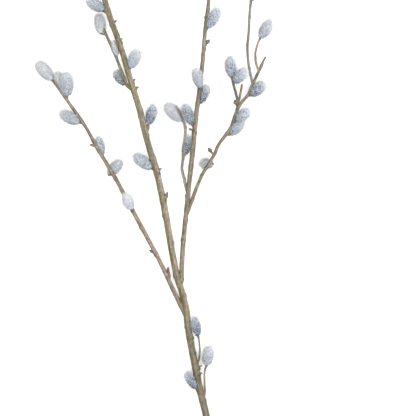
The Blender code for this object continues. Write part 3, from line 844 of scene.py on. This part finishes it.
# Painted glow: the hair tips are whitened toward this, standing in for light shining through the silk.
PAINTED_GLOW_WHITE = (0.93, 0.94, 0.96)
SILK_ROUGHNESS = 0.5
SILK_SHINE = 0.4
SILK_SHEEN = (0.5, 0.4)
ROOT_SHADE = (0.85, 0.3)
FLECK_SHADE = 0.4
FLECK_FINENESS = 480.0
FLECK_RANGE = (0.58, 0.34)
FLECK_FADE = (0.9, 0.4)
FOOT_TO_TIP = (0.1, 0.85)
# Painted glow at the hair tips: where up each hair it starts and ends, and how strong.
PAINTED_GLOW_TIPS = (0.5, 1.0, 0.35)
# Painted shade at the hair roots, deep in the coat: where up each hair it fades out, and how strong.
PAINTED_SHADE_ROOTS = (0.25, 0.0, 0.7)
DARK_WISPS = (0.6, 0.9, 0.6)
FELT_MOTTLES = (0.35, 0.65)
FELT_DETAIL = 3.0
FELT_ROUGHNESS = 0.85
SCALE_SHADES = (0.6, 1.5)
SCALE_FINENESS = 1500.0
CORE_SHADES = ((0.75, 0.4), (0.9, 0.3))
CORE_FINENESS = 900.0


def felt_finish(name, dark_colour, pale_colour, fineness):
    """A dull mottled surface between two colours."""
    finish = bpy.data.materials.new(name)
    finish.use_nodes = True
    tree = finish.node_tree
    place = node(tree, "ShaderNodeTexCoord").outputs["Object"]
    patch = node(tree, "ShaderNodeTexNoise", Vector=place, Scale=fineness, Detail=FELT_DETAIL).outputs["Fac"]
    colour = mixed(tree, ramp(tree, patch, *FELT_MOTTLES), dark_colour, pale_colour)
    shader = tree.nodes["Principled BSDF"]
    tree.links.new(colour, shader.inputs["Base Color"])
    shader.inputs["Roughness"].default_value = FELT_ROUGHNESS
    return finish


def silk_finish(name, foot_colour, tip_colour, openness):
    """Silk: darker at the catkin's foot and over the scales, with painted root shade and a painted white
    glow at the tips.
    """
    finish = bpy.data.materials.new(name)
    finish.use_nodes = True
    tree = finish.node_tree
    silk = node(tree, "ShaderNodeAttribute", attribute_name="silk").outputs["Vector"]
    parts = node(tree, "ShaderNodeSeparateXYZ", Vector=silk).outputs
    up_catkin, up_hair, wisp = parts["X"], parts["Y"], parts["Z"]
    place = node(tree, "ShaderNodeTexCoord").outputs["Object"]
    fleck = node(tree, "ShaderNodeTexVoronoi", Vector=place, Scale=FLECK_FINENESS).outputs["Distance"]
    fleck_cover = ramp(tree, up_catkin, *FLECK_FADE, openness)
    root = shaded(foot_colour, ROOT_SHADE[0] - ROOT_SHADE[1] * openness)
    gap = shaded(foot_colour, FLECK_SHADE)
    colour = mixed(tree, ramp(tree, up_catkin, *FOOT_TO_TIP), foot_colour, tip_colour)
    # Painted glow: each hair whitened toward its tip.
    colour = mixed(tree, ramp(tree, up_hair, *PAINTED_GLOW_TIPS), colour, PAINTED_GLOW_WHITE)
    # Painted shade: each hair darker toward its root, and darker where the coat is more open.
    colour = mixed(tree, ramp(tree, up_hair, *PAINTED_SHADE_ROOTS), colour, root)
    colour = mixed(tree, ramp(tree, wisp, *DARK_WISPS), colour, root)
    colour = mixed(tree, ramp(tree, fleck, *FLECK_RANGE, fleck_cover), colour, gap)
    shader = tree.nodes["Principled BSDF"]
    tree.links.new(colour, shader.inputs["Base Color"])
    shader.inputs["Roughness"].default_value = SILK_ROUGHNESS
    shader.inputs["Specular IOR Level"].default_value = SILK_SHINE
    shader.inputs["Sheen Weight"].default_value = SILK_SHEEN[0]
    shader.inputs["Sheen Roughness"].default_value = SILK_SHEEN[1]
    return finish


def bulge(share):
    """Half the width of a catkin's core at a share of its length, against its greatest half width."""
    return np.sin(np.pi * np.clip(share, *CORE_ENDS) ** CORE_SKEW) ** CORE_BLUNTNESS


class Core:
    """What is under a catkin's silk: a blunt egg from the foot to just short of the tip, in millimetres."""

    def __init__(self, foot, tip, width):
        self.foot, end = np.array(on_branch(*foot)) / MM, np.array(on_branch(*tip)) / MM
        self.catkin_length = np.linalg.norm(end - self.foot)
        self.heading = (end - self.foot) / self.catkin_length
        heading = Vector(self.heading)
        across = heading.cross(Vector((0, 0, 1))).normalized()
        self.side, self.up = np.array(across), np.array(across.cross(heading))
        self.half = width / 2 - SILK_STAND
        self.length = self.catkin_length - SILK_TIP
        self.area = math.pi * width * self.catkin_length * CORE_FULLNESS
        self.shares = np.linspace(*CORE_SPAN, CORE_STEPS)
        slope = self.half / self.length * np.gradient(bulge(self.shares), self.shares)
        passed = np.cumsum(bulge(self.shares) * np.sqrt(1 + slope ** 2) + END_COVER)
        self.passed = (passed - passed[0]) / (passed[-1] - passed[0])

    def evenly(self, fractions):
        """The shares of the core's length by which these fractions of its surface are passed."""
        return np.interp(fractions, self.passed, self.shares)

    def around(self, angle):
        """Directions square to the core."""
        return np.cos(angle)[:, None] * self.side + np.sin(angle)[:, None] * self.up

    def surface(self, share, angle, proud=0.0):
        """Points on the core, and the directions outward from it."""
        rise = bulge(share + SLOPE_STEP) - bulge(share - SLOPE_STEP)
        slope = np.clip(self.half / self.length * rise / (2 * SLOPE_STEP), -STEEPEST, STEEPEST)[:, None]
        ring = self.around(angle)
        outward = (ring - self.heading * slope) / np.sqrt(1 + slope ** 2)
        place = self.foot + self.heading * (share * self.length)[:, None]
        place = place + ring * (self.half * bulge(share))[:, None]
        return place + outward * proud, outward


def scales_on(core, coat, draw):
    """The flower scales: their points and faces, and the middles and sizes of the gaps over them."""
    count = int(SCALES_PER_SQUARE * core.area)
    shares = core.evenly((np.arange(count) + 0.5) / count)
    shares = shares[shares < SCALES_SPAN[1]]
    count = len(shares)
    shares = np.clip(shares + draw.normal(0, SCALE_DRIFT, count) / core.catkin_length, *SCALES_SPAN)
    angles = np.arange(count) * GOLDEN_ANGLE + draw.uniform(0, math.tau)
    angles = angles + draw.normal(0, SCALE_DRIFT, count) / core.half
    here, outward = core.surface(shares, angles)
    round_it = np.cross(outward, core.heading)
    round_it /= np.linalg.norm(round_it, axis=1)[:, None]
    tipward = np.cross(round_it, outward)
    sizes = draw.uniform(*SCALE_SIZES, count) * (SCALE_AT_FOOT - SCALE_SHRINK * shares)
    sizes = (sizes * (SCALE_CLOSED + SCALE_OPENING * COATS[coat]["open"]))[:, None]
    rise = SCALE_RISE * (1 - SCALE_FLATTEN * shares)[:, None]
    points = []
    for turn in np.arange(SCALE_SIDES) * math.tau / SCALE_SIDES:
        across = SCALE_LENGTH * math.cos(turn) * tipward + SCALE_WIDTH * math.sin(turn) * round_it
        height = (0.5 + 0.5 * math.cos(turn)) * (rise + SCALE_ROOT) - SCALE_ROOT
        points.append(here + 0.5 * sizes * across + height * outward)
    points += [here + SCALE_MIDDLE * rise * outward, here - SCALE_ROOT * outward]
    rim = [(k, (k + 1) % SCALE_SIDES) for k in range(SCALE_SIDES)]
    scale = [(a, b, SCALE_SIDES) for a, b in rim] + [(b, a, SCALE_SIDES + 1) for a, b in rim]
    faces = (len(points) * np.arange(count)[:, None, None] + np.array(scale)).reshape(-1, 3)
    gaps = here + WINDOW_AHEAD * SCALE_LENGTH * sizes * tipward + SCALE_MIDDLE * rise * outward
    return np.stack(points, axis=1).reshape(-1, 3), faces, gaps, WINDOW * sizes[:, 0]


def silk_over(core, coat, draw, gaps, gap_sizes):
    """The hairs: their points and faces, and each point's place up the catkin and the hair and its shade."""
    wisps = int(WISPS_PER_SQUARE * core.area)
    wisp_shares = core.evenly(draw.uniform(0, 1, wisps))
    wisp_angles = draw.uniform(0, math.tau, wisps)
    hairs = int(HAIRS_PER_SQUARE * core.area)
    wisp = draw.integers(0, wisps, hairs)
    shift = draw.normal(0, WISP_SPREAD, (hairs, 2))
    girth = np.maximum(core.half * bulge(wisp_shares), LEAST_GIRTH)
    shares = np.clip(wisp_shares[wisp] + shift[:, 0] / core.length, *CORE_SPAN)
    angles = wisp_angles[wisp] + shift[:, 1] / girth[wisp]
    root, outward = core.surface(shares, angles, -HAIR_ROOT)
    lift = draw.uniform(*HAIR_LIFT, wisps)[wisp] + draw.normal(0, HAIR_LIFT_SPREAD, hairs)
    lift = np.where(draw.uniform(0, 1, hairs) < STRAY_SHARE, lift + STRAY_LIFT, lift)
    lean = core.heading + outward * lift[:, None] + HAIR_TWIST * core.around(angles)
    lean += draw.normal(0, WISP_LEAN, (wisps, 3))[wisp] + draw.normal(0, HAIR_LEAN, (hairs, 3))
    lean /= np.linalg.norm(lean, axis=1)[:, None]
    reach = HAIR_LENGTH * draw.uniform(*HAIR_LENGTHS, hairs) * draw.uniform(*WISP_LENGTHS, wisps)[wisp]
    reach *= np.minimum(1.0, FOOT_HAIR + HAIR_GROWTH * shares)
    wisp_root, _ = core.surface(wisp_shares, wisp_angles)
    gather = WISP_GATHER * (wisp_root[wisp] - root)
    clear = reach.copy()
    for gap, size in zip(gaps, gap_sizes):
        passing = np.einsum("ij,ij->i", gap - root, lean)
        missing = np.linalg.norm(gap - root - lean * passing[:, None], axis=1)
        stop = passing - np.sqrt(np.maximum(size ** 2 - missing ** 2, 0))
        clear = np.where((missing < size) & (passing > 0), np.minimum(clear, stop), clear)
    openness = COATS[coat]["open"] * np.clip(OPEN_AT_FOOT - CLOSING * shares, 0, 1)
    parted = draw.uniform(0, 1, hairs) < openness
    reach = np.where(parted, np.maximum(clear, SHORTEST_HAIR), reach)
    kept = ~parted | (clear > 0)
    shade = WISP_SHADE * draw.uniform(0, 1, wisps)[wisp] + HAIR_SHADE * draw.uniform(0, 1, hairs)
    peak = root + lean * reach[:, None] + gather
    root, lean, peak, shares, shade = (values[kept] for values in (root, lean, peak, shares, shade))
    hairs = len(root)
    flat = np.cross(lean, draw.normal(0, 1, (hairs, 3)))
    flat /= np.linalg.norm(flat, axis=1)[:, None]
    other = np.cross(lean, flat)
    corners = [root + HAIR_WIDTH / 2 * (flat * math.cos(turn) + other * math.sin(turn))
               for turn in (0.0, math.tau / 3, 2 * math.tau / 3)]
    points = np.stack(corners + [peak], axis=1).reshape(-1, 3)
    faces = 4 * np.arange(hairs)[:, None, None] + np.array([[0, 1, 3], [1, 2, 3], [2, 0, 3]])
    up_hair = np.tile((0.0, 0.0, 0.0, 1.0), hairs)
    marks = np.stack((np.repeat(shares, 4), up_hair, np.repeat(shade, 4)), axis=1)
    return points, faces.reshape(-1, 3), marks


def catkin_piece(name, foot, tip, width, coat, seed):
    """One catkin: cup, core, scales and silk in a mesh, with a material for each."""
    draw = np.random.default_rng(seed)
    core = Core(foot, tip, width)

    # The cup and the core, ring by ring.
    turns = np.arange(CUP_SIDES) * math.tau / CUP_SIDES
    cup = []
    for reach, radius in CUP:
        cup.append(core.foot + core.heading * reach + core.around(turns) * radius * width / CATKIN_WIDTH)
    cup = np.concatenate(cup)
    turns = np.arange(CORE_SIDES) * math.tau / CORE_SIDES
    rows = (1 - np.cos(np.linspace(CORE_CAP, math.pi - CORE_CAP, CORE_ROWS))) / 2
    egg, _ = core.surface(np.repeat(rows, CORE_SIDES), np.tile(turns, CORE_ROWS))

    # The scales and the silk, and then all of it as one mesh, pressed flat where it meets the table.
    scales, scale_faces, gaps, gap_sizes = scales_on(core, coat, draw)
    hairs, hair_faces, hair_marks = silk_over(core, coat, draw, gaps, gap_sizes)
    points = np.concatenate([cup, egg, scales, hairs])
    points[:, 2] = np.maximum(points[:, 2], PRESSED)
    parts = (
        ring_faces(0, len(CUP), CUP_SIDES),
        ring_faces(len(cup), CORE_ROWS, CORE_SIDES),
        (len(cup) + len(egg) + scale_faces).tolist(),
        (len(cup) + len(egg) + len(scales) + hair_faces).tolist(),
    )
    silk = np.zeros((len(points), 3), np.float32)
    silk[-len(hairs):] = hair_marks
    mesh = bpy.data.meshes.new(name)
    mesh.from_pydata(points * MM, [], [face for part in parts for face in part])
    for finish in (bud_cap, cores[coat], flower_scales[coat], silks[coat]):
        mesh.materials.append(finish)
    kinds = np.repeat(range(len(parts)), [len(part) for part in parts])
    mesh.polygons.foreach_set("material_index", kinds.astype(np.int32))
    mesh.shade_smooth()
    mesh.attributes.new("silk", "FLOAT_VECTOR", "POINT").data.foreach_set("vector", silk.ravel())
    piece = bpy.data.objects.new(name, mesh)
    bpy.context.scene.collection.objects.link(piece)
    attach(piece, "root")


flower_scales, cores, silks = {}, {}, {}
for coat, look in COATS.items():
    scale_colours = [shaded(look["scale"], share) for share in SCALE_SHADES]
    core_colours = [shaded(look["foot"], closed - fall * look["open"]) for closed, fall in CORE_SHADES]
    flower_scales[coat] = felt_finish(f"{coat} flower scale", *scale_colours, SCALE_FINENESS)
    cores[coat] = felt_finish(f"{coat} core", *core_colours, CORE_FINENESS)
    silks[coat] = silk_finish(f"{coat} silk", look["foot"], look["tip"], look["open"])
seed = 0
for stem_name, stem_catkins in (
    ("main_stem", main_catkins), ("left_shoot", LEFT_CATKINS), ("right_shoot", right_catkins),
    ("upper_twig", UPPER_CATKINS), ("wavy_twig", WAVY_CATKINS), ("side_shoot", side_catkins),
    ("long_twig", LONG_CATKINS),
):
    for number, (foot, tip, width, coat) in enumerate(stem_catkins):
        seed += 1
        catkin_piece(f"{stem_name}_catkin_{number + 1:02d}", foot, tip, width, coat, seed)
